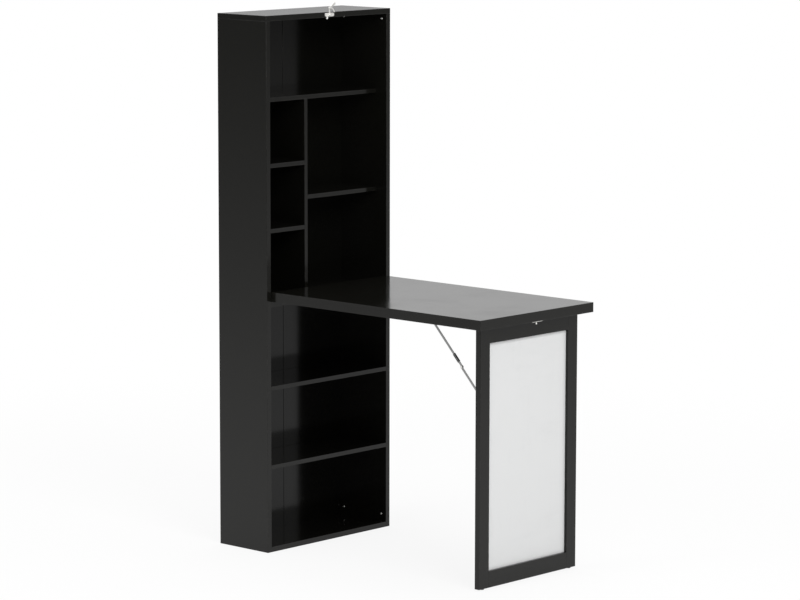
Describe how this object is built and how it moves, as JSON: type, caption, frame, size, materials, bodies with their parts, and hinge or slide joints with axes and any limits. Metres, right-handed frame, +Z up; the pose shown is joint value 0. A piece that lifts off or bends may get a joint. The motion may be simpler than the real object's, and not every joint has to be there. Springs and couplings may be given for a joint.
{
  "type": "folding desk",
  "caption": "Narrow open bookcase whose desktop folds up against its front, with a framed whiteboard leg that folds flat under it, folding stays and a swing latch.",
  "frame": {"origin": "centre of the cabinet's base, on the floor", "axes": "+Z up, -Y out of the cabinet's open front towards the leg, +X to the right seen from the front"},
  "size_m": [0.5, 0.96, 1.5271],
  "materials": {
    "black_laminate": "gloss",
    "black_back_sheet": "satin",
    "black_plastic": "matte",
    "beech_dowel": "matte",
    "white_board": "gloss",
    "pale_knob": "gloss",
    "bright_nickel": "polished",
    "hinge_steel": "satin",
    "stay_steel": "satin"
  },
  "bodies": {
    "cabinet": {"left_side_panel": "black_laminate", "right_side_panel": "black_laminate", "top_panel": "black_laminate", "bottom_panel": "black_laminate", "fixed_desk_board": "black_laminate", "full_width_shelf": "black_laminate", "left_shelf_upper": "black_laminate", "left_shelf_lower": "black_laminate", "right_shelf": "black_laminate", "lower_shelf_upper": "black_laminate", "lower_shelf_lower": "black_laminate", "divider": "black_laminate", "carcass_dowels": "beech_dowel", "back_panel_left": "black_back_sheet", "back_panel_right": "black_back_sheet", "back_joint_strip": "black_plastic", "panel_screws": "bright_nickel", "desk_hinge_board_leaves": "hinge_steel", "desk_hinge_pins": "hinge_steel", "desk_hinge_board_screws": "hinge_steel", "latch_base_plate": "bright_nickel", "latch_pivot_rivet": "bright_nickel", "latch_screws": "bright_nickel"},
    "desk": {"desktop": "black_laminate", "desk_hinge_desk_leaves": "hinge_steel", "desk_hinge_desk_screws": "hinge_steel", "leg_hinge_desk_leaves": "hinge_steel", "leg_hinge_pins": "hinge_steel", "leg_hinge_desk_screws": "hinge_steel", "stay_desk_brackets": "stay_steel", "stay_desk_bracket_screws": "stay_steel", "stay_desk_rivets": "stay_steel", "keeper_plate": "bright_nickel", "keeper_ball_stud": "bright_nickel", "keeper_screws": "bright_nickel"},
    "leg": {"leg_left_stile": "black_laminate", "leg_right_stile": "black_laminate", "leg_top_rail": "black_laminate", "leg_bottom_rail": "black_laminate", "whiteboard_face": "white_board", "whiteboard_backer": "black_back_sheet", "leg_frame_dowels": "beech_dowel", "leg_glides": "black_plastic", "leg_hinge_leg_leaves": "hinge_steel", "leg_hinge_leg_screws": "hinge_steel", "stay_leg_brackets": "stay_steel", "stay_leg_bracket_screws": "stay_steel", "stay_leg_rivets": "stay_steel"},
    "left_upper_arm": {"left_upper_stay_arm": "stay_steel", "left_knee_pin": "stay_steel"},
    "right_upper_arm": {"right_upper_stay_arm": "stay_steel", "right_knee_pin": "stay_steel"},
    "left_lower_arm": {"left_lower_stay_arm": "stay_steel"},
    "right_lower_arm": {"right_lower_stay_arm": "stay_steel"},
    "left_sleeve": {"left_lock_sleeve": "black_plastic"},
    "right_sleeve": {"right_lock_sleeve": "black_plastic"},
    "latch": {"latch_hook": "bright_nickel", "latch_ball_knob": "pale_knob"}
  },
  "joints": [
    {"name": "desk_fold", "type": "hinge", "parent": "cabinet", "child": "desk", "pos_m": [0, -0.0918, 0.7102], "axis": [-1, 0, 0], "range_deg": [0, 90]},
    {"name": "leg_fold", "type": "hinge", "parent": "desk", "child": "leg", "pos_m": [0, -0.8183, 0.7058], "axis": [1, 0, 0], "range_deg": [0, 90]},
    {"name": "latch_swing", "type": "hinge", "parent": "cabinet", "child": "latch", "pos_m": [0, -0.0962, 1.4925], "axis": [0, 1, 0], "range_deg": [0, 175]},
    {"name": "left_upper_arm_turn", "type": "hinge", "parent": "desk", "child": "left_upper_arm", "pos_m": [-0.14185, -0.6113, 0.7034], "axis": [1, 0, 0], "range_deg": [0, 133.36]},
    {"name": "left_lower_arm_turn", "type": "hinge", "parent": "leg", "child": "left_lower_arm", "pos_m": [-0.14525, -0.8207, 0.4813], "axis": [1, 0, 0], "range_deg": [-136.74, 0]},
    {"name": "left_sleeve_slide", "type": "slide", "parent": "left_upper_arm", "child": "left_sleeve", "axis": [0, 0.686, 0.7276], "range_m": [0, 0.012]},
    {"name": "right_upper_arm_turn", "type": "hinge", "parent": "desk", "child": "right_upper_arm", "pos_m": [0.14185, -0.6113, 0.7034], "axis": [1, 0, 0], "range_deg": [0, 133.36]},
    {"name": "right_lower_arm_turn", "type": "hinge", "parent": "leg", "child": "right_lower_arm", "pos_m": [0.14525, -0.8207, 0.4813], "axis": [1, 0, 0], "range_deg": [-136.74, 0]},
    {"name": "right_sleeve_slide", "type": "slide", "parent": "right_upper_arm", "child": "right_sleeve", "axis": [0, 0.686, 0.7276], "range_m": [0, 0.012]}
  ],
  "couplings": [
    {"joint": "left_upper_arm_turn", "follows": "leg_fold", "ratio": 1.4813},
    {"joint": "left_lower_arm_turn", "follows": "leg_fold", "ratio": -1.5187},
    {"joint": "right_upper_arm_turn", "follows": "leg_fold", "ratio": 1.4813},
    {"joint": "right_lower_arm_turn", "follows": "leg_fold", "ratio": -1.5187}
  ]
}
